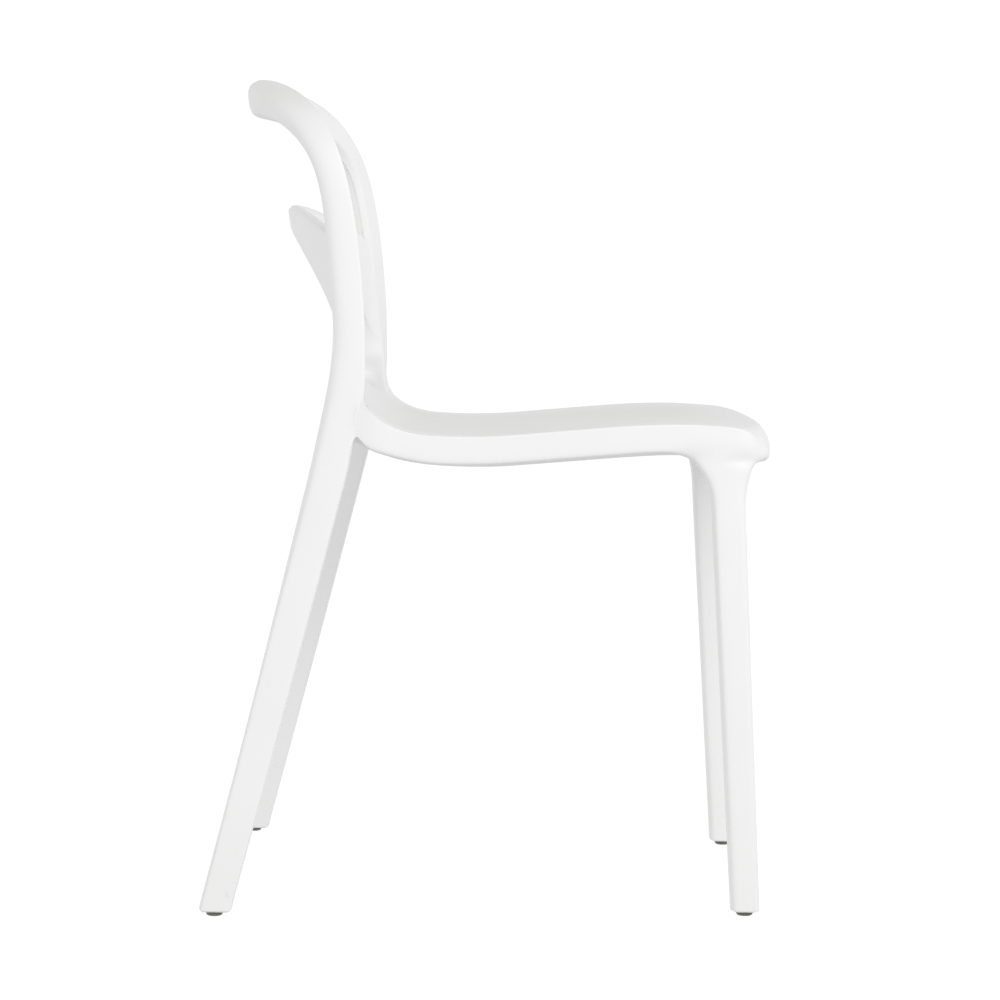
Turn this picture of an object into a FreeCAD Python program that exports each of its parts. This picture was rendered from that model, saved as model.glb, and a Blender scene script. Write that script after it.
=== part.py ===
import FreeCAD, Part
import math
import os
from FreeCAD import Vector

# Stacking chair in moulded plastic: front is -Y, up is +Z, X is the width.
# The origin is on the floor, under the middle of the chair. All sizes are in millimetres.
# Rear legs run up into back posts, which arch over into a bowed top rail. A lumbar rail joins the
# posts. The seat is a thin panel on a ring of beams, carried by the posts and the front legs.

# Overall sizes
OVERALL_HEIGHT = 785.0
OVERALL_DEPTH = 538.0
SEAT_HEIGHT = 465.0
SEAT_WIDTH = 438.0
REAR_TRACK = 474.0
FRONT_TRACK = 392.0

# Legs and feet
GLIDE_HEIGHT = 5.5
GLIDE_RADIUS = 7.8
GLIDE_EDGE = 1.2
GLIDE_PIN_RADIUS = 3.0
GLIDE_PIN_LENGTH = 12.0
INSERT_LENGTH = 28.0
LEG_WALL = 4.5
HOLLOW_LENGTH = 300.0
REAR_FOOT_DEPTH = 29.0
REAR_FOOT_WIDTH = 29.0
REAR_HIP_DEPTH = 31.5
REAR_RAKE_DEG = 14.0
FRONT_FOOT_DEPTH = 27.2
FRONT_FOOT_WIDTH = 29.0
FRONT_TOP_DEPTH = 32.0
FRONT_LEG_SETBACK = 26.0
FRONT_RAKE_DEG = 3.5
FRONT_LEG_INSET = 3.0
FRONT_FLARE = 36.0

# Back
WAIST_ABOVE_SEAT = 75.0
KNEE_RADIUS = 430.0
LEAN_RADIUS = 650.0
LEAN_DEG = 16.7
BOW_RADIUS = 480.0
POST_WIDTH = 27.0
POST_DEPTH = 24.0
POST_TURN = 0.7
ARCH_DROP = 107.0
ARCH_POWER = 3.1
TOP_RAIL_HEIGHT = 36.5
TOP_RAIL_DEPTH = 26.0
LUMBAR_DROP = 123.0
LUMBAR_DEPTH = 17.0
LUMBAR_BOW_SHARE = 0.82
LUMBAR_HEIGHT = 23.0
LUMBAR_MARGIN = 5.0
WING_DROP = 111.0
WING_POWER = 2.0
WING_SHOULDER = 10.0

# Seat
PANEL_THICKNESS = 5.0
BEAM_HEIGHT = 28.0
BEAM_WIDTH = 32.0
LIP_DEPTH = 30.0
REAR_BEAM_DEPTH = 42.0
FRONT_BOW = 16.0
REAR_BOW = 14.0
SEAT_DISH = 6.0
SEAT_SAG = 15.0
SEAT_BACK_RISE = 26.0

# Where the top rail's sections stand along its arch, in degrees from the left post
ARCH_STATIONS = (0, 8, 20, 40, 65, 90, 115, 140, 160, 172, 180)

# Edge rounding
FRONT_EDGE_RADIUS = 4.0
BACK_EDGE_RADIUS = 10.0
FOOT_EDGE_RADIUS = 6.0

# Places worked out from the sizes above
nose_y = -OVERALL_DEPTH / 2
rear_foot_y = OVERALL_DEPTH / 2 - REAR_FOOT_DEPTH / 2
front_foot_y = nose_y + FRONT_LEG_SETBACK
post_x = REAR_TRACK / 2
seat_edge_x = SEAT_WIDTH / 2
waist_z = SEAT_HEIGHT + WAIST_ABOVE_SEAT
hip_low_z = SEAT_HEIGHT - 40.0
hip_high_z = SEAT_HEIGHT + 30.0
rake = math.radians(REAR_RAKE_DEG)
lean = math.radians(LEAN_DEG)
knee_z = waist_z - KNEE_RADIUS * math.sin(rake)
knee_y = rear_foot_y - math.tan(rake) * (knee_z - GLIDE_HEIGHT)
waist_y = knee_y - KNEE_RADIUS * (1 - math.cos(rake))
lean_z = waist_z + LEAN_RADIUS * math.sin(lean)
lean_y = waist_y + LEAN_RADIUS * (1 - math.cos(lean))
arch_top_z = OVERALL_HEIGHT - TOP_RAIL_HEIGHT / 2
arch_foot_z = arch_top_z - ARCH_DROP
hollow_top_z = GLIDE_HEIGHT + HOLLOW_LENGTH


def mix(a, b, share):
    return a + (b - a) * share


def member_y(z):
    """Middle line of the rear leg and post in side view: y at height z."""
    if z < knee_z:
        return rear_foot_y - math.tan(rake) * (z - GLIDE_HEIGHT)
    if z < waist_z:
        return waist_y + KNEE_RADIUS - math.sqrt(KNEE_RADIUS ** 2 - (waist_z - z) ** 2)
    if z < lean_z:
        return waist_y + LEAN_RADIUS - math.sqrt(LEAN_RADIUS ** 2 - (z - waist_z) ** 2)
    return lean_y + math.tan(lean) * (z - lean_z)


def bow(x):
    """How far the back stands behind the posts at width x."""
    return (post_x ** 2 - x ** 2) / (2 * BOW_RADIUS)


def rounded_wire(corners, radii):
    """Closed wire through coplanar corners, each rounded by an arc."""
    starts = []
    middles = []
    ends = []
    for i, corner in enumerate(corners):
        to_last = (corners[i - 1] - corner).normalize()
        to_next = (corners[(i + 1) % len(corners)] - corner).normalize()
        half = to_last.getAngle(to_next) / 2
        reach = radii[i] / math.tan(half)
        inward = (to_last + to_next).normalize()
        starts.append(corner + to_last * reach)
        middles.append(corner + inward * (radii[i] / math.sin(half) - radii[i]))
        ends.append(corner + to_next * reach)
    edges = []
    for i in range(len(corners)):
        edges.append(Part.Arc(starts[i], middles[i], ends[i]).toShape())
        edges.append(Part.makeLine(ends[i], starts[(i + 1) % len(corners)]))
    return Part.Wire(edges)


def section(centre, across, front, width, depth, front_radius, back_radius):
    """Rounded section, flat to the front and rounder behind. across and front are unit axes."""
    u = across * (width / 2)
    v = front * (depth / 2)
    corners = [centre + u + v, centre - u + v, centre - u - v, centre + u - v]
    return rounded_wire(corners, [front_radius, front_radius, back_radius, back_radius])


def level_section(centre, turn, width, depth, front_radius, back_radius):
    """Level section whose front is turned inwards by an angle in radians."""
    across = Vector(math.cos(turn), -math.sin(turn), 0)
    front = Vector(-math.sin(turn), -math.cos(turn), 0)
    return section(centre, across, front, width, depth, front_radius, back_radius)


def loft(wires):
    return Part.makeLoft(wires, True, False)


def mirrored(shape):
    return shape.mirror(Vector(0, 0, 0), Vector(1, 0, 0))


def box(x0, x1, y0, y1, z0, z1):
    return Part.makeBox(x1 - x0, y1 - y0, z1 - z0, Vector(x0, y0, z0))


# Rear legs and back posts. Both share the sections at the seat, so they meet face to face.
post_turn = math.atan(POST_TURN * post_x / BOW_RADIUS)
outer_x = post_x + POST_WIDTH / 2
hip_inner_x = seat_edge_x - 6.0


def rear_section(z, inner_x, depth, turn_share, back_radius):
    """Section of the right rear member at height z, from inner_x out to the common outer face."""
    centre = Vector((outer_x + inner_x) / 2, member_y(z), z)
    width = outer_x - inner_x
    return level_section(centre, post_turn * turn_share, width, depth, FRONT_EDGE_RADIUS, back_radius)


def rear_foot_wire(z, wall):
    """Level section of the straight lower leg, shrunk by a wall."""
    share = (z - GLIDE_HEIGHT) / HOLLOW_LENGTH
    depth = mix(REAR_FOOT_DEPTH, REAR_HIP_DEPTH - 2, share) - 2 * wall
    radius = max(1.5, FOOT_EDGE_RADIUS - wall)
    centre = Vector(post_x, member_y(z), z)
    return level_section(centre, 0, REAR_FOOT_WIDTH - 2 * wall, depth, radius, radius)


def make_rear_leg():
    """Outer skin of the right rear leg and the hollow in its lower end."""
    hip = rear_section(hip_low_z, hip_inner_x, REAR_HIP_DEPTH, 0.4, BACK_EDGE_RADIUS)
    foot = rear_foot_wire(GLIDE_HEIGHT, 0)
    shin = rear_foot_wire(hollow_top_z, 0)
    skin = loft([foot, shin]).fuse(loft([shin, hip]))
    hollow = loft([rear_foot_wire(GLIDE_HEIGHT, LEG_WALL), rear_foot_wire(hollow_top_z, LEG_WALL)])
    return skin, hollow


def make_back_post():
    """Right back post, from the seat up to the foot of the arch."""
    hip_low = rear_section(hip_low_z, hip_inner_x, REAR_HIP_DEPTH, 0.4, BACK_EDGE_RADIUS)
    hip_high = rear_section(hip_high_z, hip_inner_x, REAR_HIP_DEPTH - 2, 0.7, BACK_EDGE_RADIUS)
    waist = rear_section(waist_z, outer_x - POST_WIDTH, POST_DEPTH, 1, BACK_EDGE_RADIUS)
    chest_z = mix(waist_z, arch_foot_z, 0.5)
    chest = rear_section(chest_z, outer_x - POST_WIDTH, POST_DEPTH, 1, BACK_EDGE_RADIUS)
    return loft([hip_low, hip_high, waist, chest, arch_wire(0)])


def arch_wire(degrees):
    """Section of the top rail at an angle along the arch: 0 at the right post, 180 at the left."""
    angle = math.radians(degrees)
    step = math.radians(0.5)

    def place(at):
        x = math.copysign(abs(math.cos(at)) ** (2 / ARCH_POWER), math.cos(at)) * post_x
        z = arch_foot_z + max(0.0, math.sin(at)) ** (2 / ARCH_POWER) * ARCH_DROP
        return Vector(x, member_y(z) + bow(x), z)

    centre = place(angle)
    if degrees in (0, 180):
        turn = math.copysign(post_turn, centre.x)
        return level_section(centre, turn, POST_WIDTH, POST_DEPTH, FRONT_EDGE_RADIUS, BACK_EDGE_RADIUS)
    along = (place(angle + step) - place(angle - step)).normalize()
    facing = Vector(-POST_TURN * centre.x / BOW_RADIUS, -1, 0)
    front = (facing - along * facing.dot(along)).normalize()
    across = front.cross(along).normalize()
    share = 1 - abs(centre.x / post_x) ** 1.3
    width = mix(POST_WIDTH, TOP_RAIL_HEIGHT, share)
    depth = mix(POST_DEPTH, TOP_RAIL_DEPTH, share)
    return section(centre, across, front, width, depth, FRONT_EDGE_RADIUS, BACK_EDGE_RADIUS)


def lumbar_outline():
    """Front view of the lumbar rail and its wings, made solid from front to back."""
    top_z = OVERALL_HEIGHT - LUMBAR_DROP
    low_z = top_z - LUMBAR_HEIGHT
    tip_z = low_z - WING_DROP
    under = []
    for i in range(-12, 13):
        angle = math.radians(90 * i / 12)
        x = math.copysign(abs(math.sin(angle)) ** (2 / WING_POWER), angle) * (post_x - WING_SHOULDER)
        under.append(Vector(x, 0, tip_z + abs(math.cos(angle)) ** (2 / WING_POWER) * WING_DROP))
    # each point is in from the post's middle and down from the rail's top
    over = []
    for inset, drop in ((0, 44), (15, 26), (38, 10), (80, 4), (166, 0.5)):
        over.append(Vector(post_x - inset, 0, top_z - drop))
    over += [Vector(-v.x, 0, v.z) for v in reversed(over)]
    under_curve = Part.BSplineCurve()
    under_curve.interpolate(under)
    over_curve = Part.BSplineCurve()
    over_curve.interpolate(over)
    right_tip = Vector(post_x, 0, tip_z)
    left_tip = Vector(-post_x, 0, tip_z)
    edges = [under_curve.toShape(), over_curve.toShape()]
    corners = [under[-1], right_tip, over[0], over[-1], left_tip, under[0]]
    for i in (0, 1, 3, 4):
        edges.append(Part.makeLine(corners[i], corners[i + 1]))
    return Part.Face(Part.Wire(Part.__sortEdges__(edges))).extrude(Vector(0, OVERALL_DEPTH, 0))


def make_lumbar_rail(posts):
    """Bowed rail that widens into wings at the posts: its front outline, cut from a bowed slab."""
    low_z = OVERALL_HEIGHT - LUMBAR_DROP - LUMBAR_HEIGHT - WING_DROP - LUMBAR_MARGIN
    high_z = OVERALL_HEIGHT - LUMBAR_DROP + LUMBAR_MARGIN
    bands = []
    for i in range(5):
        z = mix(low_z, high_z, i / 4)
        arcs = []
        for offset in (-LUMBAR_DEPTH / 2, LUMBAR_DEPTH / 2):
            points = []
            for x in (-post_x, 0, post_x):
                points.append(Vector(x, member_y(z) + bow(x) * LUMBAR_BOW_SHARE + offset, z))
            arcs.append(Part.Arc(points[0], points[1], points[2]).toShape())
        near, far = arcs
        ends = [Part.makeLine(near.lastVertex().Point, far.lastVertex().Point),
                Part.makeLine(far.firstVertex().Point, near.firstVertex().Point)]
        bands.append(Part.Wire([near, ends[0], far, ends[1]]))
    rail = loft(bands).common(lumbar_outline())
    for post in posts:
        rail = rail.cut(post)
    return rail


# Seat. A side profile is lofted across the width. Front and rear edges are bowed, the middle dished.
def seat_top_line(x):
    """The seat's top line at width x, rear to front, as a curve."""
    share = 1 - (x / seat_edge_x) ** 2
    dish = SEAT_DISH * share
    front_y = nose_y + FRONT_BOW * (1 - share)
    rear_y = waist_y + REAR_BOW * share
    low_z = SEAT_HEIGHT - SEAT_SAG
    length = rear_y - front_y
    points = [
        Vector(x, rear_y - 8, SEAT_HEIGHT + SEAT_BACK_RISE),
        Vector(x, rear_y - 15, SEAT_HEIGHT + SEAT_BACK_RISE * 0.5),
        Vector(x, rear_y - 28, SEAT_HEIGHT - SEAT_SAG * 0.05 - dish * 0.2),
        Vector(x, rear_y - 56, mix(SEAT_HEIGHT, low_z, 0.76) - dish * 0.6),
        Vector(x, rear_y - length * 0.23, low_z - dish * 0.9),
        Vector(x, rear_y - length * 0.35, mix(low_z, SEAT_HEIGHT, 0.08) - dish),
        Vector(x, rear_y - length * 0.52, mix(low_z, SEAT_HEIGHT, 0.47) - dish),
        Vector(x, rear_y - length * 0.69, mix(low_z, SEAT_HEIGHT, 0.87) - dish * 0.9),
        Vector(x, rear_y - length * 0.82, SEAT_HEIGHT - dish * 0.6),
        Vector(x, rear_y - length * 0.92, SEAT_HEIGHT - 2 - dish * 0.3),
        Vector(x, front_y + BEAM_HEIGHT / 3, SEAT_HEIGHT - 10),
    ]
    curve = Part.BSplineCurve()
    curve.interpolate(points)
    return curve


def lowered(curve, distance):
    """The curve moved down along its normals, with its end points and end directions."""
    count = 16
    points = []
    for i in range(count + 1):
        u = mix(curve.FirstParameter, curve.LastParameter, i / count)
        along = curve.tangent(u)[0]
        points.append(curve.value(u) + Vector(1, 0, 0).cross(along) * distance)
    result = Part.BSplineCurve()
    result.interpolate(points)
    return result, points[0], points[-1]


def seat_skin_wire(x):
    """Closed side profile of the seat's outer shape at width x."""
    top = seat_top_line(x)
    under, rear_low, front_low = lowered(top, BEAM_HEIGHT)
    front_top = top.value(top.LastParameter)
    forward = top.tangent(top.LastParameter)[0]
    tip = (front_top + front_low) * 0.5 + forward * (BEAM_HEIGHT / 2)
    nose = Part.Arc(front_top, tip, front_low).toShape()
    cap = Part.makeLine(rear_low, top.value(top.FirstParameter))
    under.reverse()
    return Part.Wire([top.toShape(), nose, under.toShape(), cap])


def below_panel_wire(x, shape_x):
    """Closed side profile of everything below the seat panel, placed at width x."""
    top = seat_top_line(shape_x)
    line, rear, front = lowered(top, PANEL_THICKNESS)
    back = rear - line.tangent(line.FirstParameter)[0] * 40
    ahead = front + line.tangent(line.LastParameter)[0] * 40
    floor_z = SEAT_HEIGHT - 4 * BEAM_HEIGHT
    corners = [ahead, Vector(shape_x, ahead.y, floor_z), Vector(shape_x, back.y + 60, floor_z),
               Vector(shape_x, back.y + 60, back.z), back]
    edges = [Part.makeLine(back, rear), line.toShape(), Part.makeLine(front, ahead)]
    for i in range(len(corners) - 1):
        edges.append(Part.makeLine(corners[i], corners[i + 1]))
    wire = Part.Wire(edges)
    wire.translate(Vector(x - shape_x, 0, 0))
    return wire


def make_seat(posts, rear_legs):
    """The seat's outer solid, its panel, and the ring of beams under the panel."""
    stations = [seat_edge_x * share for share in (-1, -0.85, -0.5, 0, 0.5, 0.85, 1)]
    outer = loft([seat_skin_wire(x) for x in stations])
    below = loft([below_panel_wire(x * 1.03, x) for x in stations])
    seat = outer
    for member in posts + rear_legs:
        seat = seat.cut(member)
    panel = seat.cut(below)
    under = seat.common(below)
    beam_x = seat_edge_x - BEAM_WIDTH
    low_z = 0
    high_z = OVERALL_HEIGHT
    side = under.common(box(beam_x, seat_edge_x + 1, -OVERALL_DEPTH, OVERALL_DEPTH, low_z, high_z))
    front_limit = nose_y + LIP_DEPTH
    front = under.common(box(-beam_x, beam_x, -OVERALL_DEPTH, front_limit, low_z, high_z))
    rear_limit = waist_y - REAR_BEAM_DEPTH / 2
    rear = under.common(box(-beam_x, beam_x, rear_limit, OVERALL_DEPTH, low_z, high_z))
    return outer, panel, side, front, rear


# Front legs: straight and hollow below, flared out into the seat's underside at the top.
front_lean = math.tan(math.radians(FRONT_RAKE_DEG))
front_outer_top_x = seat_edge_x - FRONT_LEG_INSET


def front_section(z, wall, flare):
    share = (z - GLIDE_HEIGHT) / (SEAT_HEIGHT - GLIDE_HEIGHT)
    outer = mix(FRONT_TRACK / 2 + FRONT_FOOT_WIDTH / 2, front_outer_top_x, share)
    width = FRONT_FOOT_WIDTH + flare
    depth = mix(FRONT_FOOT_DEPTH, FRONT_TOP_DEPTH, share) + 1.7 * flare
    centre = Vector(outer - width / 2, front_foot_y + front_lean * (z - GLIDE_HEIGHT) + 0.35 * flare, z)
    radius = max(1.5, FOOT_EDGE_RADIUS - wall)
    return level_section(centre, 0, width - 2 * wall, depth - 2 * wall, radius, radius)


def make_front_leg():
    """Outer skin of one front leg and the hollow in its lower end."""
    foot = front_section(GLIDE_HEIGHT, 0, 0)
    shin = front_section(hollow_top_z, 0, 0)
    flare_z = SEAT_HEIGHT - BEAM_HEIGHT - FRONT_FLARE
    flared = []
    for degrees in (0, 26, 52, 78):
        turn = math.radians(degrees)
        z = flare_z + FRONT_FLARE * math.sin(turn)
        flared.append(front_section(z, 0, FRONT_FLARE * (1 - math.cos(turn))))
    seat_z = SEAT_HEIGHT - BEAM_HEIGHT + PANEL_THICKNESS
    root = front_section(seat_z, 0, FRONT_FLARE * (1 - math.cos(turn)))
    skin = loft([foot, shin]).fuse([loft([shin, flared[0]]), loft(flared), loft([flared[-1], root])])
    hollow = loft([front_section(GLIDE_HEIGHT, LEG_WALL, 0), front_section(hollow_top_z, LEG_WALL, 0)])
    return skin, hollow


def largest(shape):
    """The piece itself, without slivers that a cut leaves beside it."""
    return max(shape.Solids, key=lambda solid: solid.Volume)


# Feet: an insert plugs the hollow leg end, and a round glide is pinned into the insert.
def make_foot(hollow, x, y):
    mouth = box(x - 50, x + 50, y - 60, y + 60, 0, GLIDE_HEIGHT + INSERT_LENGTH)
    pin = Part.makeCylinder(GLIDE_PIN_RADIUS, GLIDE_PIN_LENGTH, Vector(x, y, GLIDE_HEIGHT))
    insert = hollow.common(mouth).cut(pin)
    pad = Part.makeCylinder(GLIDE_RADIUS, GLIDE_HEIGHT - GLIDE_EDGE, Vector(x, y, GLIDE_EDGE))
    tread = Part.makeCone(GLIDE_RADIUS - GLIDE_EDGE, GLIDE_RADIUS, GLIDE_EDGE, Vector(x, y, 0))
    return insert, tread.fuse([pad, pin]).removeSplitter()


def save(name, shape):
    for solid in shape.Solids:
        if not solid.isValid():
            raise ValueError("bad solid in " + name)
    shape.exportStep("parts/" + name + ".step")
    print(name, len(shape.Solids), round(shape.Volume))


def main():
    # +X is the left of a person sitting on the chair
    os.makedirs("parts", exist_ok=True)
    rear_skin, rear_hollow = make_rear_leg()
    post = make_back_post()
    front_skin, front_hollow = make_front_leg()
    posts = [post, mirrored(post)]
    outer, panel, side_beam, front_beam, rear_beam = make_seat(posts, [rear_skin, mirrored(rear_skin)])
    rear_insert, rear_glide = make_foot(rear_hollow, post_x, rear_foot_y)
    front_insert, front_glide = make_foot(front_hollow, FRONT_TRACK / 2, front_foot_y)

    save("seat_panel", panel)
    save("front_beam", front_beam)
    save("rear_beam", rear_beam)
    save("top_rail", loft([arch_wire(d) for d in ARCH_STATIONS]))
    save("lumbar_rail", make_lumbar_rail(posts))
    paired = {
        "side_beam": side_beam,
        "front_leg": largest(front_skin.cut(front_hollow).cut(outer)),
        "rear_leg": rear_skin.cut(rear_hollow),
        "back_post": post,
        "foot_insert_front": front_insert,
        "foot_insert_rear": rear_insert,
        "glide_front": front_glide,
        "glide_rear": rear_glide,
    }
    for name, shape in paired.items():
        save(name + "_left", shape)
        save(name + "_right", mirrored(shape))


main()
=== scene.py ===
import math

import bmesh
import bpy
from bpy.props import FloatProperty, FloatVectorProperty, PointerProperty
from mathutils import Matrix, Vector


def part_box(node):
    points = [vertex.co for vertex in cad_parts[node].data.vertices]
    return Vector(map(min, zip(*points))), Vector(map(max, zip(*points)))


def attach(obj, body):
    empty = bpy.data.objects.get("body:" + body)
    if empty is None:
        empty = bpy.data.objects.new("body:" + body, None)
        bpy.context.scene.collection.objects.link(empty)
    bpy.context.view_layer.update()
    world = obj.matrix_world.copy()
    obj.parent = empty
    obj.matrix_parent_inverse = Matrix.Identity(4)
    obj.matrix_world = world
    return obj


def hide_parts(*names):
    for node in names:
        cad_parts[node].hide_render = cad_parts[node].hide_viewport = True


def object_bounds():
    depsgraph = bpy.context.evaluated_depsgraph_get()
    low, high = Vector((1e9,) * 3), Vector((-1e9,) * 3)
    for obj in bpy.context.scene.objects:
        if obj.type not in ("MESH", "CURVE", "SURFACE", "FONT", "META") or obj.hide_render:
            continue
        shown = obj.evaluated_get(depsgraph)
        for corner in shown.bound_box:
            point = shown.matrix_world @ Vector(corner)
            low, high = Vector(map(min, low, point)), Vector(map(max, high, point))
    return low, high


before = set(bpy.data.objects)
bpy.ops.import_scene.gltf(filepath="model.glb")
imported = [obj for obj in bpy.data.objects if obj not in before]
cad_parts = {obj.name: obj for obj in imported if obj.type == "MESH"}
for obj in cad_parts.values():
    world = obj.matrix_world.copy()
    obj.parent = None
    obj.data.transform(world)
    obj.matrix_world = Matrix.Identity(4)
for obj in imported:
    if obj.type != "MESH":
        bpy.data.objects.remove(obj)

bl_info = {
    "name": "Moulded stacking chair",
    "version": (1, 0, 0),
    "blender": (4, 5, 0),
    "location": "3D View > Sidebar > Chair",
    "description": "Moulded one-piece chair with leg inserts and glides, around a fixed frame",
    "category": "Object",
}

# The frame: +Z up, front -Y, floor at Z 0. All sizes are in metres.
CAD_LOW, CAD_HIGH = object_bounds()
MM = 0.001


def centre_of(node):
    low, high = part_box(node)
    return (low + high) / 2


REAR_FOOT = centre_of("glide_rear_left")
FRONT_FOOT = centre_of("glide_front_left")
FOOT_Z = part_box("foot_insert_rear_left")[0].z
SEAT_EDGE_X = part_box("side_beam_left")[1].x
NOSE_Y = CAD_LOW.y
HEIGHT = CAD_HIGH.z
OUTER_X = CAD_HIGH.x - 1.2 * MM


def length(name, default, description):
    return FloatProperty(name=name, default=default, description=description, unit="LENGTH", precision=4)


def angle(name, degrees, description):
    return FloatProperty(name=name, default=math.radians(degrees), description=description, subtype="ANGLE")


def colour(name, default, description):
    return FloatVectorProperty(name=name, default=default, description=description,
                               subtype="COLOR", size=3, min=0, max=1)


def factor(name, default, description):
    return FloatProperty(name=name, default=default, description=description, min=0, max=1, subtype="FACTOR")


class ChairShape(bpy.types.PropertyGroup):
    """Sizes of the moulding"""
    seat_height: length("Seat height", 0.465, "Height of the seat's top at its sides")
    seat_dish: length("Seat dish", 0.006, "How far the middle of the seat lies below its sides")
    beam_height: length("Beam height", 0.027, "Height of the seat's rim")
    beam_width: length("Beam width", 0.032, "Width of the seat's rim, seen from below")
    panel_thickness: length("Panel thickness", 0.005, "Thickness of the seat inside its rim")
    front_bow: length("Front bow", 0.016, "How far the seat's front edge stands out in the middle")
    corner_radius: length("Corner radius", 0.028, "Rounding of the seat's front corners, seen from above")
    bow_radius: length("Back bow radius", 0.48, "Bow of the back, seen from above")
    post_width: length("Post width", 0.027, "Width of the posts, seen from the front")
    post_skew: angle("Post skew", 22.0, "How far the posts' front faces turn inwards")
    rail_height: length("Top rail height", 0.0365, "Height of the top rail in the middle")
    rail_depth: length("Top rail depth", 0.0265, "Depth of the top rail in the middle")
    rail_tilt: angle("Top rail tilt", 7.0, "How far the top rail leans back")
    arch_drop: length("Arch drop", 0.107, "Height of the arch from the posts to the top rail")
    leg_wall: length("Leg wall", 0.0045, "Wall of the hollow leg ends")


class ChairFinish(bpy.types.PropertyGroup):
    """Colours and finish of the plastics"""
    moulding: colour("Moulding", (0.83, 0.83, 0.828), "Colour of the moulding")
    moulding_worn: colour("Moulding, worn", (0.70, 0.692, 0.676),
                          "Colour of the moulding where it is handled")
    scuff: colour("Scuff", (0.52, 0.51, 0.49), "Colour of the fine scuffs")
    insert: colour("Insert", (0.62, 0.62, 0.60), "Colour of the leg inserts")
    glide: colour("Glide", (0.16, 0.16, 0.15), "Colour of the glides")
    glide_worn: colour("Glide, worn", (0.30, 0.30, 0.28), "Colour of the glides where they rub the floor")
    moulding_roughness: factor("Moulding roughness", 0.42, "Roughness of the moulding")


class ChairStage(bpy.types.PropertyGroup):
    """Floor and lights"""
    floor: colour("Floor", (1.0, 1.0, 1.0), "Colour of the floor and backdrop")
    floor_shade: factor("Floor shade", 0.05, "How much the floor takes light and shade")
    sky: FloatProperty(name="Sky", default=0.42, min=0,
                       description="Brightness of the light from above and below")
    horizon: FloatProperty(name="Horizon", default=1.0, min=0,
                           description="Brightness of the light from the sides")
    key: FloatProperty(name="Key light", default=37.0, min=0, subtype="POWER",
                       description="Power of the key light")


# The cage's lattice, in steps: columns from the middle outwards, rows from the front to the rear, and layers
# down through the rim. The rim is a few steps wide all round the panel.
RIM = 3
PANEL_COLS = 4
PANEL_ROWS = 10
COLS = PANEL_COLS + RIM
ROWS = PANEL_ROWS + 2 * RIM
LAYERS = 3


def mix(a, b, share):
    return a + (b - a) * share


def smooth(low, high, value):
    """Share of the way from low to high, eased at both ends."""
    share = min(1.0, max(0.0, (value - low) / (high - low)))
    return share * share * (3 - 2 * share)


def curve_through(points, at):
    """Smooth height at a place, through (place, height) points in order."""
    count = len(points)
    k = 0
    while k < count - 2 and at > points[k + 1][0]:
        k += 1
    slopes = []
    for n in (k, k + 1):
        a = points[max(n - 1, 0)]
        b = points[min(n + 1, count - 1)]
        slopes.append((b[1] - a[1]) / (b[0] - a[0]))
    (x0, y0), (x1, y1) = points[k], points[k + 1]
    step = x1 - x0
    t = min(1.0, max(0.0, (at - x0) / step))
    return ((2 * t ** 3 - 3 * t ** 2 + 1) * y0 + (t ** 3 - 2 * t ** 2 + t) * step * slopes[0]
            + (3 * t ** 2 - 2 * t ** 3) * y1 + (t ** 3 - t ** 2) * step * slopes[1])


class Value:
    """A shader socket that sums can be written with: a + b adds a Math node."""

    def __init__(self, nodes, socket):
        self.nodes = nodes
        self.socket = socket

    def sum(self, operation, first, second):
        return self.nodes.node("ShaderNodeMath", {"operation": operation}, {0: first, 1: second})

    def __add__(self, other):
        return self.sum("ADD", self, other)

    def __radd__(self, other):
        return self.sum("ADD", other, self)

    def __sub__(self, other):
        return self.sum("SUBTRACT", self, other)

    def __rsub__(self, other):
        return self.sum("SUBTRACT", other, self)

    def __mul__(self, other):
        return self.sum("MULTIPLY", self, other)

    def __rmul__(self, other):
        return self.sum("MULTIPLY", other, self)

    def ease(self, low, high):
        """0 at low, 1 at high, eased between."""
        return self.nodes.node("ShaderNodeMapRange", {"interpolation_type": "SMOOTHSTEP"},
                               {"Value": self, "From Min": low, "From Max": high})


class Nodes:
    """A material's or world's node tree, emptied."""

    def __init__(self, holder):
        holder.use_nodes = True
        self.tree = holder.node_tree
        self.tree.nodes.clear()

    def node(self, kind, settings=None, values=None, output=0):
        """Adds a node, and gives one of its outputs."""
        made = self.tree.nodes.new(kind)
        for name, setting in (settings or {}).items():
            setattr(made, name, setting)
        for name, value in (values or {}).items():
            if isinstance(value, Value):
                self.tree.links.new(value.socket, made.inputs[name])
            else:
                made.inputs[name].default_value = value
        return Value(self, made.outputs[output])

    def end(self, shader, kind="ShaderNodeOutputMaterial"):
        self.tree.links.new(shader.socket, self.tree.nodes.new(kind).inputs["Surface"])


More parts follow.
